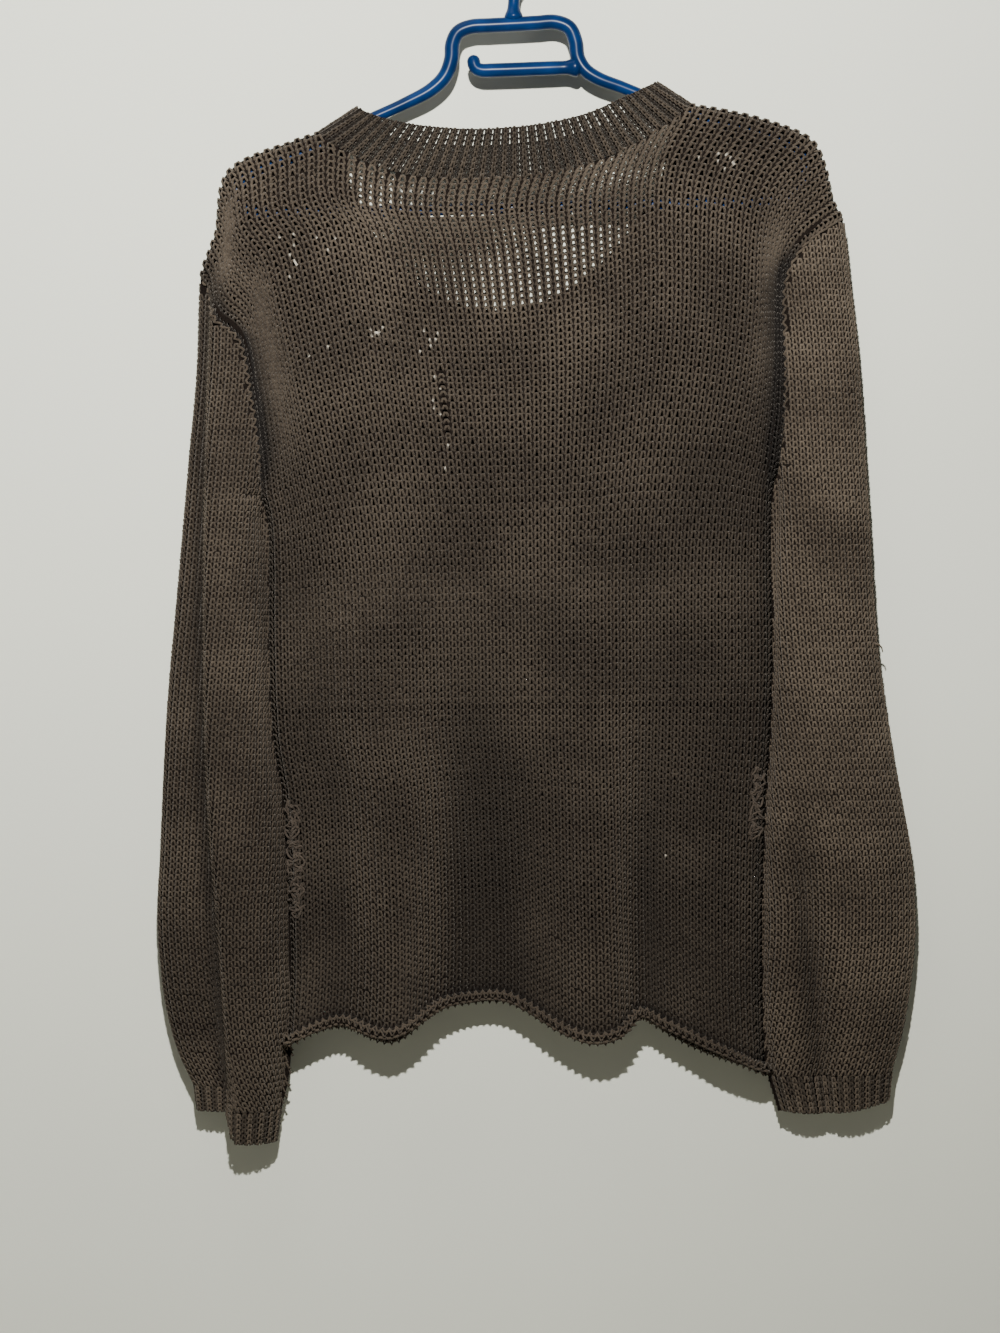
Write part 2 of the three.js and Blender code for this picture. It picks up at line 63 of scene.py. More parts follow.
WALES, COURSES = 74, 140      # stitches across a body panel, and rows down it
COURSE = PANEL_LENGTH / COURSES
HEM_ROLL = 3.3                # radius of the hem's own curl
HEM_TURNS_AT = COURSES - 1.0  # course where the curl starts
HEM_COURSES = COURSES + 3     # courses down to the edge inside the curl
SLEEVE_COURSES = 141
SLEEVE_WALE = 4.6
SLEEVE_GAP = 1.2              # between a sleeve and the body's side
SLEEVE_REACH = 130            # more than a sleeve's face is wide, so that its lattice covers it
RIB_WALE = 3.8
FLUTE = 1.35                  # how much deeper the cloth's flutes are than the frame's
YARN = 0.92                   # the yarn's radius
WIDE_STITCH = 4.4             # pitch of a stitch wide enough for the yarn to lie at its full radius
UNEVEN = 0.05                 # how unevenly the stitches are spaced, in stitches
CUFF_COURSES, NECKBAND_COURSES = 6, 9
FIBRE = 0.045                 # half the width of a loose fibre

LEFT_SHOULDER = [(-217, -247), (-214, -236), (-206, -214), (-203, -185), (-196, -171), (-135, -146)]
NECK_LINE = [(-135, -146), (-79, -159), (0, -161), (66, -150), (121, -127)]
RIGHT_SHOULDER = [(121, -127), (169, -137), (205, -152), (214, -170), (218, -190), (226, -206)]
LEFT_ARMHOLE = [(-217, -247), (-211, -255), (-206, -277), (-190, -291), (-181, -331), (-176, -373),
                (-174, -400)]
RIGHT_ARMHOLE = [(226, -206), (199, -226), (188, -244), (185, -261), (186, -304), (185, -344),
                 (181, -379)]
LEFT_SIDE = [(-174, -400), (-170, -414), (-169, -442), (-169, -504), (-166, -566), (-159, -607),
             (-155, -676), (-154, -731), (-156.5, -778)]
RIGHT_SIDE = [(181, -379), (177, -393), (176, -442), (177, -504), (175, -566), (172, -607),
              (170, -676), (170, -745), (172, -797)]
HEM = [(-156.5, -778), (-142, -769), (-117, -762), (-83, -770), (-52, -751), (-28, -747), (-3, -747),
       (31, -766), (52, -773), (67, -770), (82, -757), (103, -765), (128, -776), (172, -797)]
RIGHT_SLEEVE = {
    "outer": [(226, -206), (231, -252), (236, -297), (243, -400), (250, -504), (261, -580),
              (273, -649), (275, -704), (268, -759), (259, -795)],
    "inner": [(176, -200), (176, -300), (180, -372), (183.5, -388), (181, -442), (180.5, -504),
              (178.6, -566), (175.6, -607), (173.6, -676), (174, -745), (178, -797)],
    "cuff_outer": (257, -814), "cuff_inner": (185, -821),
}
LEFT_SLEEVE = {
    "outer": [(-217, -247), (-219, -310), (-224, -366), (-233, -469), (-239, -538), (-244, -642),
              (-246, -690), (-241, -745), (-232, -780), (-221, -804)],
    "inner": [(-166, -240), (-170, -331), (-173, -393), (-176.5, -410), (-174, -442), (-173, -504),
              (-170, -566), (-163, -607), (-159, -676), (-158, -731), (-160, -773), (-163, -820)],
    "cuff_outer": (-219, -821), "cuff_inner": (-166, -842),
}
LOBE_EDGE = [(-208, -262), (-211, -331), (-213, -504), (-210, -607), (-202, -711), (-195, -820)]
BAND_BACK_TOP = [(99, -113), (73, -125), (47, -136), (7, -144), (-32, -146), (-75, -142),
                 (-101, -135), (-110, -130)]
BAND_FRONT_EDGE = [(-110, -130), (-116, -152), (-115, -179), (-97, -221), (-59, -255), (-17, -268),
                   (24, -260), (59, -236), (99, -183), (106, -145), (99, -113)]

# ---- Curves and blends ---------------------------------------------------------------------------


class Path:
    """A smooth curve through [x, z] points, read by its share of length or by height."""

    def __init__(self, points, steps=40):
        knots = np.array(points, float)
        knots = np.vstack([2 * knots[0] - knots[1], knots, 2 * knots[-1] - knots[-2]])
        share = np.linspace(0, 1, steps, endpoint=False)[:, None]
        parts = []
        for a, b, c, d in zip(knots, knots[1:], knots[2:], knots[3:]):
            before, here, after = (np.linalg.norm(v) ** 0.5 for v in (b - a, c - b, d - c))
            leave = ((b - a) / before - (c - a) / (before + here) + (c - b) / here) * here
            reach = ((c - b) / here - (d - b) / (here + after) + (d - c) / after) * here
            parts.append(b + share * leave + share**2 * (3 * (c - b) - 2 * leave - reach)
                         + share**3 * (leave + reach - 2 * (c - b)))
        self.points = np.vstack(parts + [knots[-2:-1]])
        walked = distances(self.points)
        self.length = walked[-1]
        self.walked = walked / self.length

    def at(self, share):
        return read_along(self.points, self.walked, share)

    def across(self, z):
        """x at a height, for outlines that run downwards."""
        return np.interp(-np.asarray(z), -self.points[:, 1], self.points[:, 0])


def distances(points):
    """How far along a line each of its points lies."""
    return np.concatenate([[0], np.cumsum(np.linalg.norm(np.diff(points, axis=0), axis=1))])


def read_along(values, walked, marks):
    """Rows of values at given marks, between the marks where the rows themselves stand."""
    return np.stack([np.interp(marks, walked, column) for column in values.T], axis=-1)


def lerp(a, b, t):
    return a + (b - a) * t


def smooth(start, end, t):
    """0 at start, 1 at end, eased at both; start may be the larger."""
    s = np.clip((t - start) / (end - start), 0, 1)
    return s * s * (3 - 2 * s)


def bell(t, centre, width):
    return np.exp(-(((t - centre) / width) ** 2))


def quarter_round(distance, radius):
    """How far a rounded edge has risen, as a share, at a distance from where it starts."""
    return np.sqrt(1 - (1 - np.clip(distance / radius, 0, 1)) ** 2)


def unit(vectors):
    return vectors / np.maximum(1e-9, np.linalg.norm(vectors, axis=-1, keepdims=True))


def in_space(flat, depth):
    """[x, z] points and their depths as x, y, z."""
    return np.stack([flat[..., 0], depth, flat[..., 1]], axis=-1)


# ---- The sleeves' and body's surfaces ------------------------------------------------------------


def sleeve_depth(spec, is_left):
    """Depth of a sleeve's near (-1) or far (+1) face from the hanger's plane, at x and z."""
    low, high = (Path(spec[k]) for k in (("outer", "inner") if is_left else ("inner", "outer")))

    def depth(face, x, z):
        left, right = low.across(z), high.across(z)
        across = np.abs((x - (left + right) / 2) / ((right - left) / 2))
        crown = np.sqrt(np.maximum(0, 1 - np.minimum(1, across) ** 2.4))
        full = 12 + 5 * bell(z, -650, 130)
        if is_left:
            step = smooth(-1.6, 1.6, x - lobe_line.across(z)) * 2 - 1
            return crown * (full + 7 * step if face < 0 else full - 5 * step)
        fold = 8 * smooth(-600, -690, z) * bell(x, lerp(197, 211, smooth(-620, -790, z)), 9)
        return crown * (full - fold if face < 0 else full)

    return depth


lobe_line = Path(LOBE_EDGE)
right_depth = sleeve_depth(RIGHT_SLEEVE, False)
left_depth = sleeve_depth(LEFT_SLEEVE, True)
left_shoulder, neck_line, right_shoulder = Path(LEFT_SHOULDER), Path(NECK_LINE), Path(RIGHT_SHOULDER)
armholes = {False: Path(LEFT_ARMHOLE), True: Path(RIGHT_ARMHOLE)}
sides = {False: Path(LEFT_SIDE), True: Path(RIGHT_SIDE)}
hem_line = Path(HEM)


def pick(test, yes, no):
    """Points of one line or another, by a test on each."""
    return np.where(test[..., None], yes, no)


def shoulder_line(p):
    """The top edge, from the left shoulder's corner over the neck to the right one's."""
    over = pick(p > NECK, right_shoulder.at((p - NECK) / (1 - NECK)), neck_line.at((p / NECK + 1) / 2))
    return pick(p < -NECK, left_shoulder.at((p + 1) / (1 - NECK)), over)


def side_edge(right, q):
    """A panel's side: down the armhole, then down the side seam."""
    return pick(q < UNDERARM, armholes[right].at(q / UNDERARM),
                sides[right].at((q - UNDERARM) / (1 - UNDERARM)))


def spread(p, q):
    """Stitches across made a little wider in the middle than by the sides."""
    middle = 1.03 + 0.08 * bell(q, 0.17, 0.2)
    return middle * p + (1 - middle) * p**3


def ruled(t, q):
    """Straight rows from side to side."""
    left, right = side_edge(False, q), side_edge(True, q)
    return left + (right - left) * ((t + 1) / 2)[..., None]


def eased(t, q):
    """Straight rows, spaced smoothly past the underarm except along the edges themselves."""
    share = (1 - t**6) * smooth(0.1, 0.3, q) * (1 - smooth(0.44, 0.6, q))
    spaced = sum(ruled(t, np.clip(q + step, 0, 1)) for step in np.linspace(-0.07, 0.07, 9)) / 9
    return lerp(ruled(t, q), spaced, share[..., None])


def flutes(face, p, q):
    """How far the cloth swings out in folds that grow down to the hem."""
    grow = smooth(0.25, 0.95, q)
    if face < 0:
        return FLUTE * grow * (8 * bell(p, -0.53, 0.17) + 7 * bell(p, 0.29, 0.14) + 6 * bell(p, 0.8, 0.14)
                               - 7 * bell(p, -0.2, 0.18) - 4 * bell(p, 0.49, 0.1)
                               - 3 * bell(p, -0.76, 0.1))
    return grow * (4 * bell(p, -0.3, 0.2) + 4 * bell(p, 0.45, 0.18) - 3 * bell(p, 0.1, 0.15)
                   - 3 * bell(p, -0.7, 0.14))


def armhole_depth(face, right, q):
    """Depth of a panel along its armhole, where it meets the sleeve."""
    edge = side_edge(right, q)
    depth = (right_depth if right else left_depth)(face, edge[..., 0], edge[..., 1])
    return (depth * quarter_round(q * PANEL_LENGTH, SHOULDER_ROLL)
            * quarter_round((UNDERARM - q) * PANEL_LENGTH, UNDERARM_ROLL))


def neck_pull(p, q):
    """How far the front is pulled sideways beside its neck."""
    reach = np.where(np.abs(p) < NECK, (p / NECK) ** 2, (1 - np.abs(p)) / (1 - NECK))
    pull = np.where(p < 0, -NECK_PULL["left"], NECK_PULL["right"])
    return pull * reach * smooth(0, 0.06, q) * (1 - smooth(0.1, 0.3, q))


def body_point(face, p, q):
    """A point of the back (-1) or front (+1), from its shares of stitches across and rows down."""
    p, q = np.broadcast_arrays(np.asarray(p, float), np.asarray(q, float))
    t = spread(p, q)
    flat = eased(t, q)
    top = shoulder_line(p) - ruled(spread(p, 0 * q), 0 * q)
    bottom = hem_line.at((p + 1) / 2) - ruled(p, 1 + 0 * q)
    above = np.clip(1 - q / 0.62, 0, 1)
    flat = flat + top * (above ** lerp(1.4, 3.0, smooth(0.55, 0, above)))[..., None]
    flat = flat + bottom * smooth(0.55, 1, q)[..., None]
    if face > 0:
        flat[..., 0] += neck_pull(p, q)
        flat[..., 1] -= 8 * smooth(0.7, 1, q) * (bell(p, -0.55, 0.3) + bell(p, 0.7, 0.25))
    half_width = np.linalg.norm(ruled(0 * q, q) - side_edge(True, q), axis=-1)
    edge = np.where(p > 0, armhole_depth(face, True, q), armhole_depth(face, False, q))
    edge = np.where(q < UNDERARM, edge, 0)
    full = (7.5 if face < 0 else 7) + (7 if face < 0 else 4) * smooth(0, 0.6, q) + flutes(face, p, q)
    turn = quarter_round((1 - np.abs(t)) * half_width, SIDE_ROLL)
    over = quarter_round(q * PANEL_LENGTH, SHOULDER_ROLL)
    depth = edge + (full * over - edge) * turn
    return in_space(flat, face * np.maximum(depth, SEAM_HALF))


def neckline_row(face, p):
    """The share of rows at which the neckline lies."""
    inside = np.clip(1 - (np.abs(p) / NECK) ** NECK_CURVE, 0, 1)
    return (BACK_NECK_DROP if face < 0 else FRONT_NECK_DROP) * inside ** (1 / NECK_CURVE)


def neck_spacing(turn):
    """Shares across the panel, from -1 to 1 around the neckline, close together where it is steep."""
    return NECK * np.sign(turn) * (1 - (1 - np.abs(turn)) ** NECK_CURVE) ** (1 / NECK_CURVE)


# ---- Knitting: surfaces that are read in stitches ------------------------------------------------


# Yarn as its points, the surface's normals there, its thickness, the stitch places and the run numbers.
Strands = namedtuple("Strands", "points normals radii places runs")


class Fabric:
    """A surface sampled twice a stitch, read at any wale and course."""

    def __init__(self, points, first_wale=0.0, outward=None):
        self.points, self.first = points, first_wale
        normals = unit(np.cross(np.gradient(points, axis=1), np.gradient(points, axis=0)))
        middle = normals[normals.shape[0] // 2, normals.shape[1] // 2]
        self.normals = normals if outward is None or middle @ outward > 0 else -normals
        self.pitch = 2 * np.linalg.norm(np.gradient(points, axis=1), axis=-1)

    def at(self, wale, course):
        column = np.clip(2 * (wale - self.first), 0, self.points.shape[1] - 1.001)
        row = np.clip(2 * course, 0, self.points.shape[0] - 1.001)
        i, j = column.astype(int), row.astype(int)
        a, b = (column - i)[..., None], (row - j)[..., None]

        def blend(grid):
            return ((1 - b) * ((1 - a) * grid[j, i] + a * grid[j, i + 1])
                    + b * ((1 - a) * grid[j + 1, i] + a * grid[j + 1, i + 1]))

        return blend(self.points), unit(blend(self.normals))

    def gathered(self, wale, course):
        """How wide a stitch is here, beside a wide one."""
        row, column = (2 * course).astype(int), (2 * (wale - self.first)).astype(int)
        rows, columns = self.pitch.shape
        pitch = self.pitch[np.clip(row, 0, rows - 1), np.clip(column, 0, columns - 1)]
        return np.clip(pitch / WIDE_STITCH, 0.55, 1.1)


def panel_fabric(face):
    """A body panel's surface, with its hem curled up at the bottom."""
    p = np.linspace(-1, 1, 2 * WALES + 1)[None, :]
    flat_rows = np.arange(0, 2 * HEM_TURNS_AT + 0.5) / 2
    q = np.append(flat_rows, HEM_TURNS_AT)[:, None] / COURSES
    body = body_point(face, p, q)
    plain, start = body[:-1], body[-1]
    down = unit(start - body_point(face, p, (HEM_TURNS_AT - 1) / COURSES)[0])
    out = unit(np.cross(np.gradient(start, axis=0), down))
    out *= np.sign(out[:, 1:2]) * face
    rows = [plain]
    for course in np.arange(len(flat_rows), 2 * HEM_COURSES + 1) / 2:
        angle = (course - HEM_TURNS_AT) * COURSE / HEM_ROLL
        rows.append((start + HEM_ROLL * (out * (1 - math.cos(angle)) + down * math.sin(angle)))[None])
    return Fabric(np.concatenate(rows), outward=(0, face, 0))


LOOP = np.array([  # wale and course (up) in stitches, depth in millimetres: foot, leg, head, head, leg
    (-0.5, -0.6, -1.6), (-0.32, -0.42, 0.5), (-0.15, 0.42, 0.9), (0.15, 0.42, 0.9), (0.32, -0.42, 0.5),
])
PLAIN_LOOP = np.array([(-0.5, -0.6, -1.1), (-0.22, 0.34, 0.8), (0.22, 0.34, 0.8)])


def yarn_points(fabric, knit, loop=LOOP, lift=1.0, rib=0.0, slack=None):
    """Each course's yarn as strands.

    knit tells which stitches of each course exist, lift how far the loops stand off the surface,
    rib how far every second wale stands back, and slack how much of its height a loop keeps."""
    places, depths, radii, runs = [], [], [], []
    run = 0
    for course in range(knit.shape[0]):
        columns = np.flatnonzero(knit[course])
        for part in np.split(columns, np.flatnonzero(np.diff(columns) > 1) + 1):
            if len(part) < 2:
                continue
            count = len(part)
            keep = np.ones(count) if slack is None else slack[course, part]
            shape = np.repeat(loop[None], count, axis=0)
            stretch = (0.75 + 0.25 * keep) * (1 + chance.normal(0, UNEVEN, count))
            shape[:, :, 0] *= stretch[:, None]
            shape[:, 0, 0] = -0.5
            shape[:, 1:, 1] = lerp(-0.5, shape[:, 1:, 1], keep[:, None])
            shape[:, :, 1] += chance.normal(0, UNEVEN, (count, 1))
            shape[:, :, 2] *= (lerp(0.3, 1, keep) * (1 + chance.normal(0, 0.12, count)))[:, None]
            wale = fabric.first + part[:, None] + 0.5 + shape[:, :, 0]
            back = ((rib + np.zeros(knit.shape[1]))[part] * np.where(part % 2 == 0, 1.0, -1.0))[:, None]
            flat = np.stack([wale, course + 0.5 - shape[:, :, 1]], axis=-1).reshape(-1, 2)
            deep = (lift * shape[:, :, 2] + back).reshape(-1)
            places.append(np.vstack([flat, (flat[-1, 0] + 0.14, flat[0, 1])]))
            depths.append(np.append(deep, deep[0]))
            radii.append(np.full(len(flat) + 1, 1 + chance.normal(0, 0.05)))
            runs.append(np.full(len(flat) + 1, run))
            run += 1
    places, depths = np.concatenate(places), np.concatenate(depths)
    points, normals = fabric.at(places[:, 0], places[:, 1])
    radii = np.concatenate(radii) * fabric.gathered(places[:, 0], places[:, 1])
    return Strands(points + normals * depths[:, None], normals, radii, places, np.concatenate(runs))


# ---- Meshes --------------------------------------------------------------------------------------


def make_piece(name, points, faces, finish, uvs=(), values=()):
    """A smooth mesh piece from points in millimetres; faces are quads, all of one size."""
    mesh = bpy.data.meshes.new(name)
    faces = np.asarray(faces, np.int32)
    mesh.vertices.add(len(points))
    mesh.vertices.foreach_set("co", (np.asarray(points) * MM).astype(np.float32).ravel())
    mesh.loops.add(faces.size)
    mesh.loops.foreach_set("vertex_index", faces.ravel())
    mesh.polygons.add(len(faces))
    mesh.polygons.foreach_set("loop_start", np.arange(0, faces.size, faces.shape[1], dtype=np.int32))
    mesh.polygons.foreach_set("use_smooth", np.ones(len(faces), bool))
    for title, spread_out in uvs:
        layer = mesh.uv_layers.new(name=title)
        layer.data.foreach_set("uv", np.asarray(spread_out, np.float32).ravel())
    for title, amounts in values:
        mesh.attributes.new(title, "FLOAT", "POINT").data.foreach_set("value", amounts.astype(np.float32))
    mesh.update(calc_edges=True)
    mesh.validate()
    piece = bpy.data.objects.new(name, mesh)
    bpy.context.scene.collection.objects.link(piece)
    mesh.materials.append(finish)
    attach(piece, "root")
    return piece


def tube_faces(rings, sides):
    """Quads between each of these rings of points and the next one."""
    here, turn = rings[:, None] * sides, np.arange(sides)
    after = (turn + 1) % sides
    corners = [here + turn, here + sides + turn, here + sides + after, here + after]
    return np.stack(corners, axis=-1).reshape(-1, 4)


def yarn_piece(name, strands, finish, radius=YARN, sides=3, painted_shade=0.0, specks=None):
    """Tubes of yarn along every run of the strands.

    One value per point says how much painted shade darkens it, and specks how likely it holds a painted
    speck of light."""
    points, normals, swell, places, runs = strands
    pale = np.zeros(len(points)) if specks is None else 1.0 * (chance.random(len(points)) < specks)
    values = [("painted_shade", np.repeat(painted_shade + 0 * swell, sides)), ("pale", np.repeat(pale, sides))]
    same = runs[1:] == runs[:-1]
    ahead = np.vstack([points[1:] - points[:-1], points[-1:] - points[-2:-1]])
    ahead[:-1][~same] = (points[1:] - points[:-1])[np.maximum(0, np.flatnonzero(~same) - 1)]
    behind = np.vstack([ahead[:1], ahead[:-1]])
    behind[1:][~same] = ahead[1:][~same]
    along = unit(unit(ahead) + unit(behind))
    side = unit(np.cross(along, normals))
    up = unit(np.cross(side, along))
    turns = 2 * math.pi * (np.arange(sides) + 0.25) / sides
    ring = side[:, None] * np.cos(turns)[None, :, None] + up[:, None] * np.sin(turns)[None, :, None]
    tube = (points[:, None] + ring * (radius * swell)[:, None, None]).reshape(-1, 3)
    faces = tube_faces(np.flatnonzero(same), sides)
    walked = distances(points)
    low, high = places.min(axis=0) - 0.5, places.max(axis=0) + 0.5
    tidy = (places - low) / (high - low)
    around = [np.tile(np.arange(sides) + step, same.sum()) / sides for step in (0, 0, 1, 1)]
    strand = np.stack([np.stack([walked[faces[:, k] // sides] * 0.1, around[k]], axis=-1)
                       for k in range(4)], axis=1)
    nudge = np.array([(0, 0), (0.3, 0), (0.3, 0.3), (0, 0.3)]) / (high - low)
    baked = tidy[faces[:, :1] // sides] + nudge[None]
    return make_piece(name, tube, faces, finish, [("OFBake", baked), ("strand", strand)], values)


def grid_faces(rows, columns):
    """Quads over a grid of points numbered row by row."""
    j, i = np.mgrid[0:rows - 1, 0:columns - 1]
    here = (j * columns + i).ravel()
    return np.stack([here, here + columns, here + columns + 1, here + 1], axis=-1)


def sheet_piece(name, fabric, wales, courses, finish, worn=None, sink=0.0):
    """A thin sheet over a grid of wales and courses of the fabric, as deep behind it as it sinks."""
    points, normals = fabric.at(wales, courses)
    points = points - sink * normals
    rows, columns = wales.shape
    faces = grid_faces(rows, columns)
    stitches = np.stack([wales.ravel(), courses.ravel()], axis=-1)
    low, high = stitches.min(axis=0), stitches.max(axis=0)
    uvs = [("OFBake", ((stitches - low) / (high - low))[faces]), ("stitches", stitches[faces])]
    thin = np.zeros(points.shape[:2]) if worn is None else worn(wales, courses)
    return make_piece(name, points.reshape(-1, 3), faces, finish, uvs, [("worn", thin.ravel())])


# ---- Finishes ------------------------------------------------------------------------------------


class Socket:
    """A node's output that takes part in arithmetic."""

    def __init__(self, finish, output):
        self.finish, self.output = finish, output

    def math(self, operation, *values):
        return self.finish.node("Math", {"operation": operation}, dict(enumerate(values)))

    def __add__(self, other):
        return self.math("ADD", self, other)

    def __sub__(self, other):
        return self.math("SUBTRACT", self, other)

    def __rsub__(self, other):
        return self.math("SUBTRACT", other, self)

    def __mul__(self, other):
        return self.math("MULTIPLY", self, other)

    def __truediv__(self, other):
        return self.math("DIVIDE", self, other)

    def __pow__(self, other):
        return self.math("POWER", self, other)

    __radd__, __rmul__ = __add__, __mul__

    def sine(self):
        return self.math("SINE", self)

    def fract(self):
        return self.math("FRACT", self)

    def ramp(self, low, high):
        """0 below low, 1 above high, smooth between."""
        return self.finish.node("MapRange", {"interpolation_type": "SMOOTHSTEP"},
                                {0: self, 1: low, 2: high, 3: 0.0, 4: 1.0})


class Finish:
    """A material made of nodes."""

    def __init__(self, name):
        self.material = bpy.data.materials.new(name)
        self.material.use_nodes = True
        self.tree = self.material.node_tree
        self.tree.nodes.clear()

    def node(self, kind, settings=None, sockets=None, out=0):
        """One node of a kind, with its settings and its sockets' values or links, as a socket."""
        made = self.tree.nodes.new("ShaderNode" + kind)
        for name, value in (settings or {}).items():
            setattr(made, name, value)
        for place, value in (sockets or {}).items():
            if isinstance(value, Socket):
                self.tree.links.new(value.output, made.inputs[place])
            else:
                made.inputs[place].default_value = value
        return Socket(self, made.outputs[out]) if made.outputs else None

    def parts(self, vector):
        """The first two numbers of a vector, each as a socket."""
        first = self.node("SeparateXYZ", {}, {0: vector})
        return first, Socket(self, first.output.node.outputs[1])

    def mix(self, share, a, b):
        return self.node("Mix", {"data_type": "RGBA"}, {0: share, 6: a, 7: b}, out=2)

    def noise(self, where, scale, detail=2.0, roughness=0.5):
        return self.node("TexNoise", {}, {"Vector": where, "Scale": scale, "Detail": detail,
                                          "Roughness": roughness})

    def done(self, surface):
        """The material, with this shader as its surface."""
        self.node("OutputMaterial", {}, {0: surface})
        return self.material


def srgb(red, green, blue):
    """A colour given as 0 to 255, made linear."""
    return (*(((c / 255 + 0.055) / 1.055) ** 2.4 for c in (red, green, blue)), 1)


def yarn_finish(name, dark, light):
    """Soft two-ply wool: twisted, hairy, blotched by wash and wear, with painted shade in its folds and
    painted specks of light.
    """
    f = Finish(name)
    place = f.node("TexCoord", out="Object")
    patches = f.noise(place, 16, 3.0).ramp(0.32, 0.68)
    flecks = f.noise(place, 420, 2.0, 0.7).ramp(0.25, 0.8)
    along, around = f.parts(f.node("UVMap", {"uv_map": "strand"}))
    ply = ((along * 5.0 + around) * (2 * math.pi)).sine()
    hairs = f.noise(place, 1500, 2.0, 0.8)
    colour = f.mix(patches * 0.45 + flecks * 0.55, dark, light)
    # painted shade: the yarn darkens towards a deep shadow brown as much as each point's value says
    colour = f.mix(f.node("Attribute", {"attribute_name": "painted_shade"}, out="Fac"), colour, DEEP_SHADOW_BROWN)
    # painted light: pale specks where a point's pale value is set
    colour = f.mix(f.node("Attribute", {"attribute_name": "pale"}, out="Fac") ** 4, colour, SPECK_LIGHT)
    relief = f.node("Bump", {}, {"Strength": 0.5, "Distance": 0.0006, "Height": ply * 0.4 + hairs})
    return f.done(f.node("BsdfPrincipled", {}, {
        "Base Color": colour, "Roughness": 0.94, "Sheen Weight": 0.15, "Sheen Roughness": 0.45,
        "Sheen Tint": (0.75, 0.68, 0.6, 1), "Specular IOR Level": 0.2, "Normal": relief}))


def sheet_finish(name, dark, light, open_share):
    """Matted fibres between the loops, dark with painted shade, with the knitting's holes through them.
    """
    f = Finish(name)
    place = f.node("TexCoord", out="Object")
    stitch = f.node("UVMap", {"uv_map": "stitches"})
    across, down = (part.fract() for part in f.parts(stitch))
    x, y = (across - 0.5) / 0.3, (down - 0.58) / 0.4
    away = (x * x + y * y) ** 0.5
    worn = f.node("Attribute", {"attribute_name": "worn"}, out="Fac")
    cells = f.node("TexWhiteNoise", {"noise_dimensions": "2D"},
                   {"Vector": f.node("VectorMath", {"operation": "FLOOR"}, {0: stitch})})
    size = worn + cells * 0.35 + (open_share - 0.35)
    hole = (size - away).ramp(-0.08, 0.08)
    fibres = f.noise(place, 900, 3.0, 0.7)
    relief = f.node("Bump", {}, {"Strength": 0.6, "Distance": 0.0006, "Height": fibres})
    return f.done(f.node("BsdfPrincipled", {}, {
        # painted shade: the sheet's dark colour stands for the shade between the loops
        "Base Color": f.mix(fibres.ramp(0.3, 0.7), dark, light), "Roughness": 0.97,
        "Specular IOR Level": 0.1, "Alpha": 1 - hole, "Normal": relief}))


def plastic_finish(name, colour, deep, ridged):
    """Glossy moulded plastic with faint flow marks and scuffs; ridged where cloth must not slip."""
    f = Finish(name)
    place = f.node("TexCoord", out="Object")
    marks = f.noise(place, 60, 3.0)
    scuffs = f.noise(place, 700, 2.0, 0.8).ramp(0.62, 0.8)
    height = marks * 0.25 + scuffs * 0.1
    if ridged:
        height = height + (f.parts(place)[0] * (2 * math.pi / RIDGE_PITCH)).sine() * 1.6
    relief = f.node("Bump", {}, {"Strength": 0.25, "Distance": 0.0006, "Height": height})
    return f.done(f.node("BsdfPrincipled", {}, {
        "Base Color": f.mix(marks.ramp(0.3, 0.7), deep, colour), "Roughness": scuffs * 0.2 + 0.3,
        "Coat Weight": 0.03, "Coat Roughness": 0.2, "IOR": 1.42, "Specular IOR Level": 0.13,
        "Normal": relief}))


BROWN, LIGHT_BROWN = srgb(54, 46, 38), srgb(102, 91, 78)
# painted shade: the two dark browns of the sheets and of the yarn's shaded points; painted light: the
# pale specks' colour
DEEP_SHADOW_BROWN, SHADE_BROWN, SPECK_LIGHT = srgb(13, 9, 7), srgb(27, 21, 17), srgb(182, 175, 161)
yarn = yarn_finish("wool_yarn", BROWN, LIGHT_BROWN)
mend_yarn = yarn_finish("mending_yarn", srgb(56, 48, 41), srgb(92, 82, 72))
fuzz_finish = yarn_finish("loose_wool_fibres", srgb(64, 54, 46), srgb(110, 98, 86))
# matted fibres whose dark colour is painted shade between the loops, each with its own holes
open_shade_fibres = sheet_finish("open_wool_shade_fibres", DEEP_SHADOW_BROWN, SHADE_BROWN, 1.0)
ribbed_shade_fibres = sheet_finish("ribbed_wool_shade_fibres", DEEP_SHADOW_BROWN, SHADE_BROWN, 1.1)
close_shade_fibres = sheet_finish("close_wool_shade_fibres", DEEP_SHADOW_BROWN, SHADE_BROWN, 0.2)
blue = plastic_finish("blue_plastic", srgb(8, 43, 88), srgb(5, 32, 69), False)
ridged_blue = plastic_finish("ridged_blue_plastic", srgb(8, 43, 88), srgb(5, 32, 69), True)

# ---- Body panels ---------------------------------------------------------------------------------


def panel_knit(face):
    """Which stitches a panel has: none inside its neckline."""
    p = (np.arange(WALES) + 0.5) / WALES * 2 - 1
    course = np.arange(HEM_COURSES)[:, None]
    return (course + 0.35) / COURSES > neckline_row(face, p)[None, :]


def panel_grid(face, shoulder_steps=12, neck_steps=36, rows=92):
    """Wales and courses of a panel's sheet, its first row along the shoulders and the neckline."""
    turn = np.linspace(-1, 1, neck_steps + 1)
    shoulder = np.linspace(NECK, 1, shoulder_steps + 1)[1:]
    first, even = (np.concatenate([-shoulder[::-1], neck, shoulder])
                   for neck in (neck_spacing(turn), NECK * turn))
    down = np.linspace(0, 1, rows + 1)[:, None] ** 1.15
    start = neckline_row(face, first)[None]
    course = (start + (HEM_COURSES / COURSES - start) * down) * COURSES
    p = lerp(first[None], even[None], np.clip(down / 0.2, 0, 1) ** 3)
    return (p + 1) / 2 * WALES, course


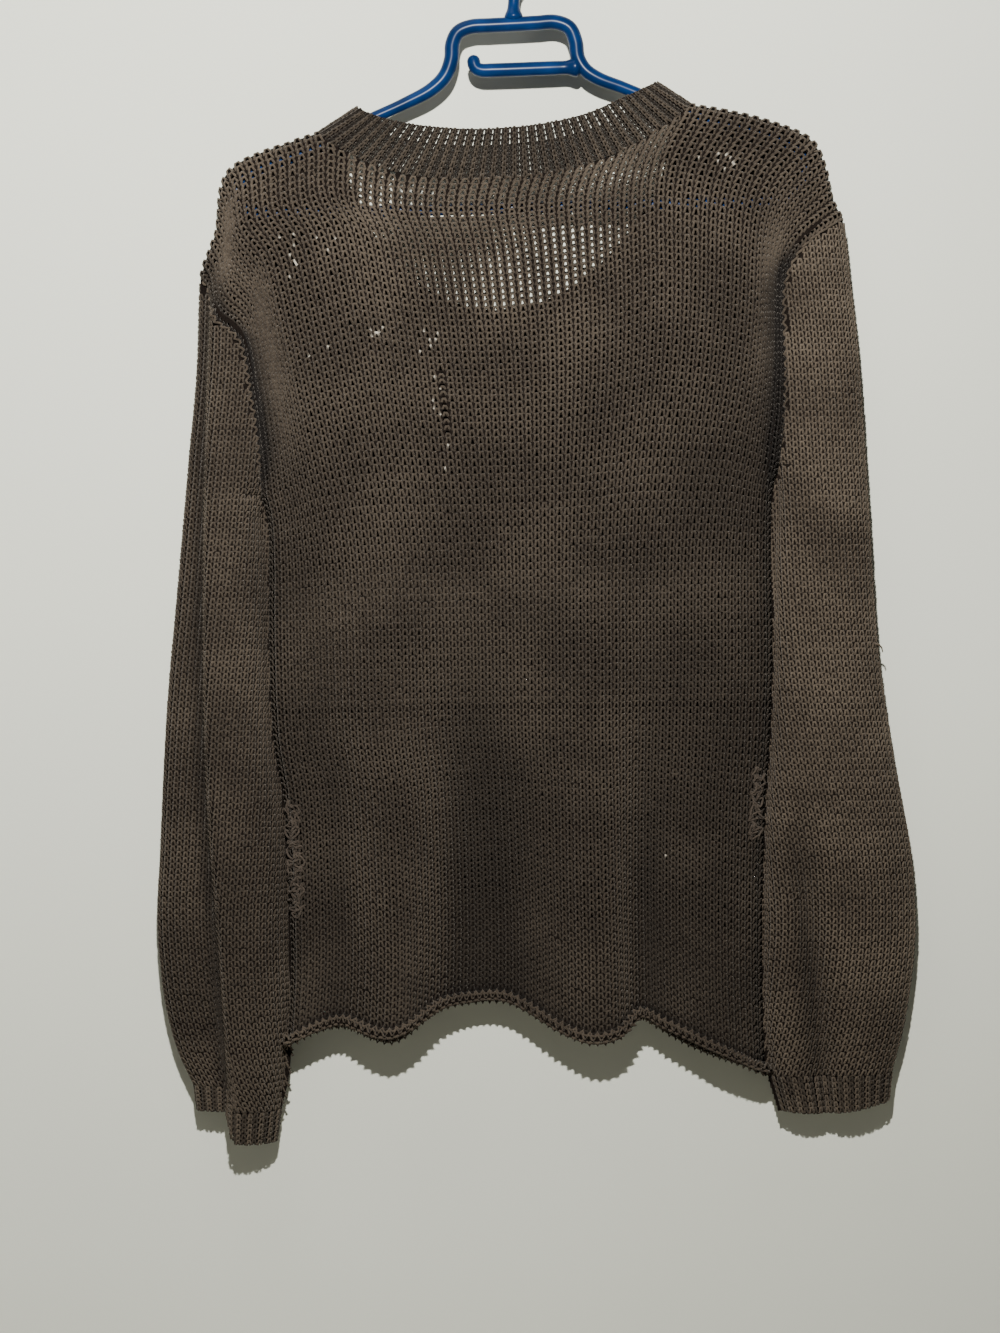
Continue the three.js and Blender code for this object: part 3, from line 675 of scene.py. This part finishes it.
def thin_spots(wales, courses):
    """Where the back has gone thin: by the shoulders, and a dropped stitch down the middle left."""
    spots = [(14, 33, 1.4, 1.8), (23.4, 32, 4, 1.5), (15.6, 18, 2.2, 2.4), (60, 8.5, 1.6, 1.8),
             (59, 110, 1, 1.2), (28, 42, 0.7, 7)]
    return sum(0.6 * bell(wales, a, w) * bell(courses, b, h) for a, b, w, h in spots)


def body_painted_shade(face, places):
    """Painted shade on a panel: darker towards the hem, in the valleys of the flutes, along the sides and
    in the hem's crevice, less on its curl.
    """
    p, q = places[:, 0] / WALES * 2 - 1, places[:, 1] / COURSES
    valley = smooth(2, -8, flutes(face, p, q))
    side = smooth(3, 0.6, np.minimum(places[:, 0], WALES - places[:, 0])) * smooth(0.02, 0.08, q)
    gone_under = side * (0.15 + 0.35 * bell(q, 0.25, 0.14))
    painted_shade = 0.24 + 0.24 * smooth(0.05, 0.4, q) + 0.32 * valley * smooth(0.4, 0.7, q) + gone_under
    crevice, roll = bell(places[:, 1], COURSES - 1.6, 0.9), smooth(COURSES - 1, COURSES, places[:, 1])
    return np.clip((painted_shade + 0.4 * crevice) * (1 - 0.6 * roll), 0, 0.95)


def back_worn(wales, courses):
    """How open the back's fibres are: thin in spots, closed by the hem."""
    return thin_spots(wales, courses) - 1.5 * smooth(118, 128, courses)


def body_crease_shade(points):
    """Painted shade over the close stitches beside the armholes, and the yarn a little darker towards the
    right.
    """
    x, z = points[:, 0], points[:, 2]
    armhole = np.where(x > 0, armholes[True].across(z), armholes[False].across(z))
    beside = smooth(20, 5, np.abs(armhole - x)) * smooth(-215, -245, z) * smooth(-400, -360, z)
    return 0.5 * beside + 0.1 * smooth(60, 160, x)


def build_panel(face):
    """A body panel's fabric, its sheet, and its yarn in two pieces."""
    fabric = panel_fabric(face)
    title = "back" if face < 0 else "front"
    knit = panel_knit(face)
    slack = np.ones(knit.shape)
    if face < 0:
        slack[37:47, 28] = 0.45     # the dropped stitch
    slack[-4:] = 0.75               # inside the hem's curl
    strands = yarn_points(fabric, knit, LOOP if face < 0 else PLAIN_LOOP, slack=slack)
    first = np.unique(strands.runs, return_index=True)[1]
    halves = (strands.places[first, 1] < COURSES / 2)[strands.runs]
    yarns = []
    for part, chosen in (("upper", halves), ("lower", ~halves)):
        some = Strands(*(column[chosen] for column in strands))
        # painted light: pale specks in the back's thin spots, where light would show through
        specks = 0.2 * thin_spots(*some.places.T) if face < 0 else None
        yarns.append(yarn_piece(f"{title}_yarn_{part}", some, yarn,
                                painted_shade=body_painted_shade(face, some.places) + body_crease_shade(some.points),
                                specks=specks))
    wales, courses = panel_grid(face)
    sheet = sheet_piece(f"{title}_sheet", fabric, wales, courses,
                        open_shade_fibres if face < 0 else close_shade_fibres,
                        back_worn if face < 0 else None)
    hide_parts(f"{title}_panel")
    return fabric, sheet, yarns


back_fabric, back_sheet, back_yarns = build_panel(-1)
_, front_sheet, front_yarns = build_panel(1)

# ---- Sleeves and cuffs ---------------------------------------------------------------------------


def sleeve_fabric(spec, right):
    """A sleeve's two faces as one surface, its wales counted from the outer edge: near face positive.

    With it come how many wales the far and near faces reach in each row, and how many there are."""
    depth = right_depth if right else left_depth
    outer, inner, armhole = Path(spec["outer"]), Path(spec["inner"]), armholes[right]
    top, pit = armhole.points[0, 1], armhole.points[-1, 1]
    outer_end, inner_end = spec["outer"][-1][1], spec["inner"][-1][1]
    wide = int(SLEEVE_REACH / SLEEVE_WALE)
    marks = np.arange(0, 2 * wide + 1) * SLEEVE_WALE / 2
    share = (1 - np.cos(math.pi * np.linspace(0, 1, 121))) / 2
    slope = share if right else smooth(0.36, 0.54, share)
    rows, reach = [], []
    for down in np.linspace(0, 1, 2 * SLEEVE_COURSES + 1):
        height = lerp(top, outer_end, down)
        tilt = (inner_end - outer_end) * smooth(0.55, 1, down)
        z = height + tilt * slope
        seam = armhole.across(height) if height > pit else inner.across(height + tilt)
        beside = sides[right].across(height) - (SLEEVE_GAP if right else -SLEEVE_GAP)
        stop = lerp(seam, beside, smooth(0, 6, pit - height) * (1 - smooth(-772, -818, height)))
        start = outer.across(height)
        x = lerp(start, stop, share)
        ease = quarter_round(top - height, SHOULDER_ROLL)
        if height > pit:
            ease = ease * quarter_round(height - pit, UNDERARM_ROLL)
        full = 1 - np.exp(-((x - stop) / 10) ** 2) * (1 - ease)
        row, lengths = [], []
        for face in (1, -1):
            y = face * np.maximum(depth(face, x, z) * full, 0.3)
            points = np.stack([x, y, z], axis=-1)
            walked = distances(points)
            beyond = np.maximum(0, marks - walked[-1])[:, None] * np.array([np.sign(stop - start), 0, 0])
            row.append(read_along(points, walked, marks) + beyond)
            lengths.append(walked[-1] / SLEEVE_WALE)
        rows.append(np.vstack([row[0][:0:-1], row[1]]))
        reach.append(lengths)
    fabric = Fabric(np.array(rows), -wide)
    if fabric.normals[len(rows) // 2, -wide][1] > 0:
        fabric.normals = -fabric.normals
    return fabric, np.array(reach), wide


def sleeve_painted_shade(right, points):
    """Painted shade on a sleeve: along the right one's fold; over all of the left one, deepest where its
    lobe turns under.
    """
    x, z = points[:, 0], points[:, 2]
    if right:
        return 0.45 * smooth(-570, -690, z) * bell(x, lerp(195, 205, smooth(-620, -790, z)), 11)
    beyond = lobe_line.across(z) - x
    return 0.35 + 0.4 * smooth(0, 2, beyond) * smooth(14, 3, beyond)


def build_sleeve(side, spec, right):
    """A sleeve's fabric and how many wales each row reaches, its sheet, and its yarn in two pieces."""
    fabric, reach, wide = sleeve_fabric(spec, right)
    course = np.arange(SLEEVE_COURSES)
    wale = np.arange(-wide, wide) + 0.5
    far, near = reach[2 * course + 1, 0], reach[2 * course + 1, 1]
    knit = (wale[None] > -far[:, None] + 0.3) & (wale[None] < near[:, None] - 0.3)
    yarns = []
    for part, chosen, loop in (("back", wale > 0, LOOP), ("front", wale < 0, PLAIN_LOOP)):
        strands = yarn_points(fabric, knit & chosen[None], loop)
        yarns.append(yarn_piece(f"{side}_sleeve_yarn_{part}", strands, yarn,
                                painted_shade=sleeve_painted_shade(right, strands.points)))
    rows = np.linspace(0, SLEEVE_COURSES, 72)
    far, near = (np.interp(rows, np.arange(len(reach)) / 2, reach[:, k]) for k in (0, 1))
    turn = np.linspace(-1, 1, 45)[None]
    wales = np.where(turn < 0, turn * far[:, None], turn * near[:, None])
    sheet = sheet_piece(f"{side}_sleeve_sheet", fabric, wales, rows[:, None] + 0 * wales,
                        close_shade_fibres)
    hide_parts(f"{side}_sleeve")
    return fabric, reach, sheet, yarns


def rib_wales(length):
    """How many wales go around a ribbed band: an even number."""
    return int(round(length / RIB_WALE / 2)) * 2


def build_rib(title, starts, ends, courses, finish, rib, painted_shade, radius, worn=None):
    """A ribbed band between two closed rings of points, as its sheet and its yarn.

    rib is how far every second wale stands back, for the whole band or for each wale."""
    fabric = Fabric(lerp(starts[None], ends[None], np.linspace(0, 1, 2 * courses + 1)[:, None, None]))
    wales = len(starts) // 2
    if (fabric.normals * fabric.points)[..., 1].sum() < 0:
        fabric.normals = -fabric.normals
    strands = yarn_points(fabric, np.ones((courses, wales), bool), rib=rib, lift=0.75)
    # painted shade in the furrows between the ribs, on top of the band's own
    furrow = 0.5 - 0.5 * np.cos(math.pi * (strands.places[:, 0] - 0.5))
    strings = yarn_piece(f"{title}_yarn", strands, yarn, radius=radius,
                         painted_shade=painted_shade + 0.45 * furrow)
    across, down = np.meshgrid(np.arange(2 * wales + 1) / 2, np.arange(courses + 1.0))
    behind = np.interp(across, np.arange(wales) + 0.5, rib + np.zeros(wales))[..., None] + 0.4
    sheet = sheet_piece(f"{title}_sheet", fabric, across, down, finish, worn, behind)
    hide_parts(title)
    return sheet, strings


def build_cuff(side, spec, fabric, reach):
    """A cuff that carries on from the sleeve's last row."""
    far, near = reach[-1]
    around = np.linspace(-far, near, 180)[:-1]
    top, _ = fabric.at(around, np.full(len(around), SLEEVE_COURSES))
    wales = rib_wales(distances(top)[-1])
    ring = np.vstack([top, top[:1]])
    walked = distances(ring)
    top = read_along(ring, walked, np.linspace(0, walked[-1], 2 * wales + 1))
    outer_x, inner_x = spec["outer"][-1][0], spec["inner"][-1][0]
    share = (top[:, 0] - outer_x) / (inner_x - outer_x)
    (x0, z0), (x1, z1) = spec["cuff_outer"], spec["cuff_inner"]
    dip = 4 * np.sin(math.pi * np.clip(share, 0, 1)) if side == "right" else 0
    low = share if side == "right" else smooth(0.36, 0.54, share)
    end = np.stack([lerp(x0, x1, share), top[:, 1] * 0.85, lerp(z0, z1, low) - dip], axis=-1)
    # painted shade over each cuff's yarn, deeper on the left
    return build_rib(f"{side}_cuff", top, end, CUFF_COURSES, close_shade_fibres, rib=0.7,
                     painted_shade=0.22 if side == "left" else 0.1, radius=1.2)


def armhole_seam(side, right):
    """The raised seam around an armhole, as one cord of yarn lying over both faces."""
    share = np.linspace(0.004, 0.996, 90)
    edge = armholes[right].at(share)
    ring = [in_space(edge, face * (armhole_depth(face, right, share * UNDERARM) + 1.0))
            for face in (-1, 1)]
    points = np.vstack([ring[0], ring[1][::-1]])
    wave = np.sin(np.arange(len(points)) * 1.9)
    outward = unit(points * [0, 1, 0] + [0, 1e-3, 0])
    points = points + wave[:, None] * np.array([1.5, 0.4, 0.6])
    places = np.stack([np.arange(len(points)) * 0.1, np.zeros(len(points))], axis=-1)
    strands = Strands(points, outward, np.ones(len(points)), places, np.zeros(len(points), int))
    # the seam's yarn darkened by painted shade
    return yarn_piece(f"{side}_armhole_seam", strands, yarn, radius=0.95, sides=6,
                      painted_shade=0.3)


sleeve_sheets, sleeve_yarns, cuffs = {}, {}, {}
for side, spec, right in (("left", LEFT_SLEEVE, False), ("right", RIGHT_SLEEVE, True)):
    fabric, reach, sleeve_sheets[side], sleeve_yarns[side] = build_sleeve(side, spec, right)
    cuffs[side] = build_cuff(side, spec, fabric, reach)
    sleeve_yarns[side].append(armhole_seam(side, right))

# ---- Neckband ------------------------------------------------------------------------------------


def neckband_rings():
    """The seam on both necklines and the band's free edge, ring by ring, and the back's seam alone."""
    halves = []
    for face, half, edge in ((-1, "back", BAND_BACK_TOP), (1, "front", BAND_FRONT_EDGE)):
        p = face * neck_spacing(np.linspace(-1, 1, 240))
        seam = body_point(face, p, neckline_row(face, p))
        share = distances(seam)
        share = share / share[-1]
        from_end = np.minimum(share, 1 - share) * BAND_LENGTH[half]
        depth = face * BAND_DEPTH[half] * quarter_round(from_end, BAND_ROLL)
        free = in_space(Path(edge).at(share), depth)
        halves.append((seam[:-1], free[:-1]))
    seam, free = (np.vstack([half[k] for half in halves] + [halves[0][k][:1]]) for k in (0, 1))
    return seam, free, halves[0][0]


def build_neckband():
    """The ribbed neckband, its loops standing as the body's do: from the free edge to the seam."""
    seam, free, back_seam = neckband_rings()
    walked = distances(seam)
    wales = rib_wales(walked[-1])
    marks = np.linspace(0, walked[-1], 2 * wales + 1)
    seam, free = (read_along(ring, walked, marks) for ring in (seam, free))
    back = wales * distances(back_seam)[-1] / walked[-1]

    def worn(wale, course):
        ridge = 1 + np.cos(math.pi * (wale - 0.5))
        return -ridge - 2 * (1 - smooth(3, 9, wale) * smooth(back - 3, back - 9, wale))

    wale = np.arange(wales) + 0.5
    rib = 1.3 * smooth(0.5, 4.5, np.minimum(np.minimum(wale, wales - wale), np.abs(wale - back)))
    # painted shade over the band's yarn
    return build_rib("neckband", free, seam, NECKBAND_COURSES, ribbed_shade_fibres, rib,
                     painted_shade=0.44, radius=1.08, worn=worn)


neck_sheet, neck_yarn = build_neckband()
neck_yarns = [neck_yarn]

# ---- Mends, loose ends and fuzz ------------------------------------------------------------------


def darn(name, fabric, wales, courses, rows, cloth):
    """A rough darn: one yarn run to and fro over a worn seam, its stitches uneven."""
    (low, high), (top, bottom) = wales, courses
    places = []
    for row in range(rows):
        across = np.linspace(low, high - chance.uniform(0, 1.1), 5)[:: 1 if row % 2 else -1]
        height = lerp(top, bottom, row / (rows - 1)) + chance.normal(0, 0.4, 5)
        places += list(zip(across + chance.normal(0, 0.2, 5), height, 1.2 + 0.7 * (-1.0) ** np.arange(5)))
    places = np.array(places)
    points, normals = fabric.at(places[:, 0], places[:, 1])
    points = points + normals * places[:, 2:]
    flat = Path(points[:, [0, 2]], steps=4)
    along = np.linspace(0, len(points) - 1, len(flat.points))
    thread = in_space(flat.points, np.interp(along, np.arange(len(points)), points[:, 1]))
    facing = read_along(normals, np.arange(len(points)), along)
    marks = np.stack([along * 0.2, np.zeros(len(along))], axis=-1)
    strands = Strands(thread, unit(facing), np.ones(len(thread)), marks, np.zeros(len(thread), int))
    cloth.append(yarn_piece(name, strands, mend_yarn, radius=0.75, sides=5, painted_shade=0.1))


darn("left_side_darn", back_fabric, (0.6, 2.8), (101, 119), 30, back_yarns)
darn("right_side_darn", back_fabric, (WALES - 2.4, WALES - 0.6), (95, 105), 17, back_yarns)


def loose_end(name, points, cloth):
    """An end of yarn that has worked out of the knitting."""
    line = np.array(points, float)
    marks = np.linspace(0, len(line) - 1, 30)
    curve = read_along(line, np.arange(len(line)), marks)
    places = np.stack([marks, 0 * marks], axis=-1)
    facing = np.tile([0.0, -1.0, 0.0], (30, 1))
    strands = Strands(curve, facing, np.linspace(1, 0.5, 30), places, np.zeros(30, int))
    cloth.append(yarn_piece(name, strands, yarn, radius=0.8, sides=6))


loose_end("loose_yarn_end", [(246, -6, -499), (250, -8, -500), (252, -7, -502), (253, -5, -505)],
          sleeve_yarns["right"])


def fuzz(name, pieces, count, cloth):
    """Loose fibres that stand off the yarn all over, each a thin curled strip."""
    source = []
    for piece in pieces:
        flat = np.empty(3 * len(piece.data.vertices), np.float32)
        piece.data.vertices.foreach_get("co", flat)
        source.append(flat.reshape(-1, 3) / MM)
    source = np.concatenate(source)
    roots = source[chance.integers(0, len(source), count)]
    lean = unit(chance.normal(0, 1, (count, 3)))
    bend = unit(np.cross(lean, chance.normal(0, 1, (count, 3))))
    long = chance.uniform(1.0, 2.1, count)[:, None]
    wide = np.cross(lean, bend) * FIBRE
    points = np.stack([roots + long * (lean * s + bend * 0.6 * s * s) + edge * wide * (1 - 0.7 * s)
                       for s in (0, 0.5, 1.0) for edge in (-1, 1)], axis=1)
    start = np.arange(count)[:, None, None] * 6 + np.arange(2)[None, :, None] * 2
    faces = (start + np.array([0, 1, 3, 2])).reshape(-1, 4)
    # Each quad has its own small square of the baked finish, on a chart of 90 by 90.
    baked = np.tile(np.array([(0, 0), (1, 0), (1, 1), (0, 1)]), (len(faces), 1, 1)) * 0.01
    shelf = np.stack([np.arange(len(faces)) % 90, np.arange(len(faces)) // 90 % 90], axis=-1) / 91
    hairs = make_piece(name, points.reshape(-1, 3), faces, fuzz_finish,
                       [("OFBake", baked + shelf[:, None]), ("strand", baked)])
    cloth.append(hairs)


fuzz("body_fuzz", back_yarns[:2] + front_yarns[:1], 9000, back_yarns)
for side in ("left", "right"):
    fuzz(f"{side}_sleeve_fuzz", sleeve_yarns[side][:1], 3500, sleeve_yarns[side])
fuzz("neckband_fuzz", [neck_yarn], 1500, neck_yarns)

# ---- Hanger --------------------------------------------------------------------------------------

HANGER = {                         # route, radius, flare at its root, and how much thicker its middle is
    "hanger_hook": ([(-1, -66.7), (-1, -58), (1, -46), (13, -35), (20, -20), (17, -5), (8, 2.4),
                     (0, TUBE), (-9, 2), (-17, -5), (-20, -16), (-19, -24)], TUBE, 2.5, 0),
    "hanger_neck_frame": ([(-96.9, -135.9), (-76, -126.5), (-58, -117), (-48.4, -107.5), (-44, -95.5),
                           (-43.3, -85.5), (-39.5, -77.5), (-31, -73.6), (-16.8, -72.6), (-1, -71.8),
                           (14.9, -70.9), (28, -70.3), (37.5, -74.3), (41.8, -84), (43.3, -94.8),
                           (48.4, -103.2), (57.7, -109.3), (74, -115.3), (93.7, -123.2)], TUBE, 0, 1.1),
    "hanger_left_arm": ([(-96.9, -135.9), (-132, -155.7), (-170, -170), (-185, -178), (-192, -185),
                         (-192, -194), (-185, -200.6), (-170, -202.3)], TUBE, 0, 0),
    "hanger_right_arm": ([(93.7, -123.2), (121, -135), (169, -148), (189, -156), (198, -164),
                          (200, -177), (196, -188), (188, -193), (180, -194)], TUBE, 0, 0),
    "hanger_trouser_bar": ([(-170, -202.5), (0, -198.6), (180, -194.3)], TUBE, 0, 0),
    "hanger_tie_bar": ([(41.5, -101.4), (20, -102.3), (-16, -103.6), (-23.1, -103.6), (-27, -102),
                        (-28.6, -98.1), (-28.6, -97.5)], FRAME_TUBE, 2.2, 0.3),
}


def tube_piece(node, points, radius, flare, thicker, sides=20):
    """A smooth moulded tube with rounded ends, flared where it grows out of another."""
    path = Path(points)
    steps = int(path.length / 2) + 1
    inside = np.linspace(0, 1, steps)
    cap = np.cos(np.linspace(0, math.pi / 2, 6))[1:]
    flat = path.at(inside)
    ahead = unit(np.gradient(flat, axis=0))
    walked = inside * path.length
    swell = smooth(0.02, 0.25, inside) * smooth(0.98, 0.75, inside)
    radii = radius + flare * np.exp(-(walked / 4) ** 2) + thicker * swell
    start = flat[:1] - ahead[:1] * radius * np.sqrt(1 - cap[::-1, None] ** 2)
    end = flat[-1:] + ahead[-1:] * radius * np.sqrt(1 - cap[:, None] ** 2)
    line = np.vstack([start, flat, end])
    ahead = np.vstack([np.repeat(ahead[:1], 5, 0), ahead, np.repeat(ahead[-1:], 5, 0)])
    radii = np.concatenate([radii[0] * cap[::-1], radii, radii[-1] * cap])
    turns = np.arange(sides) * 2 * math.pi / sides
    sideways = np.stack([-ahead[:, 1], ahead[:, 0]], axis=-1)
    ring_flat = line[:, None] + sideways[:, None] * (radii[:, None] * np.cos(turns)[None])[..., None]
    ring = in_space(ring_flat, radii[:, None] * np.sin(turns)[None])
    faces = tube_faces(np.arange(len(line) - 1), sides)
    piece = make_piece(f"{node}_moulding", ring.reshape(-1, 3), faces,
                       ridged_blue if node.endswith("arm") else blue)
    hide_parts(node)


for node, (points, radius, flare, thicker) in HANGER.items():
    tube_piece(node, points, radius, flare, thicker)

# ---- Wall, floor, light and camera ---------------------------------------------------------------

VIEW_CENTRE = (-0.0104, -0.515)    # x and z of the middle of the view
VIEW_HEIGHT = 0.92                 # height of the view at the hanger's plane
VIEW_DISTANCE = 1.8
WALL = 0.027                       # the wall's distance behind the hanger's plane


def plane_piece(name, centre, across, up, finish):
    """A flat surface of the room."""
    corners = [centre + a * across + b * up for a, b in ((-1, -1), (1, -1), (1, 1), (-1, 1))]
    mesh = bpy.data.meshes.new(name)
    mesh.from_pydata([tuple(c) for c in corners], [], [(0, 1, 2, 3)])
    mesh.materials.append(finish)
    plane = bpy.data.objects.new(name, mesh)
    bpy.context.scene.collection.objects.link(plane)


def paint_finish(name, colour, one_sided):
    """Matt wall paint with a faint roller texture; a wall can be seen only from its front."""
    f = Finish(name)
    place = f.node("TexCoord", out="Object")
    stipple = f.noise(place, 260, 3.0)
    relief = f.node("Bump", {}, {"Strength": 0.15, "Distance": 0.0005, "Height": stipple})
    paint = f.node("BsdfPrincipled", {}, {
        "Base Color": f.mix(f.noise(place, 2.5).ramp(0.3, 0.7), colour, tuple(c * 0.96 for c in colour)),
        "Roughness": 0.85, "Normal": relief})
    if not one_sided:
        return f.done(paint)
    behind = f.node("NewGeometry", out="Backfacing")
    return f.done(f.node("MixShader", {}, {0: behind, 1: paint, 2: f.node("BsdfTransparent")}))


X, Y, Z = np.eye(3)
plane_piece("wall", np.array([0, WALL, -0.4]), 2.5 * X, 2.5 * Z,
            paint_finish("wall_paint", srgb(226, 228, 215), True))
plane_piece("floor", np.array([0, 0, -1.35]), 3 * X, 3 * Y,
            paint_finish("floor_paint", srgb(215, 213, 206), False))

world = bpy.data.worlds.new("room")
world.use_nodes = True
world.node_tree.nodes["Background"].inputs["Color"].default_value = (1, 0.98, 0.93, 1)
world.node_tree.nodes["Background"].inputs["Strength"].default_value = 0.06
bpy.context.scene.world = world


def area_light(name, place, aim, size, power, colour):
    """A round light at a place, turned towards what it is aimed at."""
    lamp = bpy.data.lights.new(name, "AREA")
    lamp.shape, lamp.size, lamp.energy, lamp.color = "DISK", size, power, colour
    light = bpy.data.objects.new(name, lamp)
    light.location = place
    light.rotation_euler = (Vector(aim) - Vector(place)).to_track_quat("-Z", "Y").to_euler()
    bpy.context.scene.collection.objects.link(light)


area_light("lamp", (-0.04, -1.36, 0.03), (-0.4, 0, 0.5), 0.045, 51, (1, 0.99, 0.955))
area_light("ceiling", (-0.5, -0.7, 1.1), (0, 0, -0.1), 0.9, 5.5, (1, 0.985, 0.92))

lens = bpy.data.cameras.new("camera")
lens.lens = lens.sensor_width * VIEW_DISTANCE / VIEW_HEIGHT
lens.clip_start, lens.clip_end = 0.01, 50
camera = bpy.data.objects.new("camera", lens)
camera.location = (VIEW_CENTRE[0], -VIEW_DISTANCE, VIEW_CENTRE[1])
camera.rotation_euler = (math.pi / 2, 0, 0)
bpy.context.scene.collection.objects.link(camera)
bpy.context.scene.camera = camera
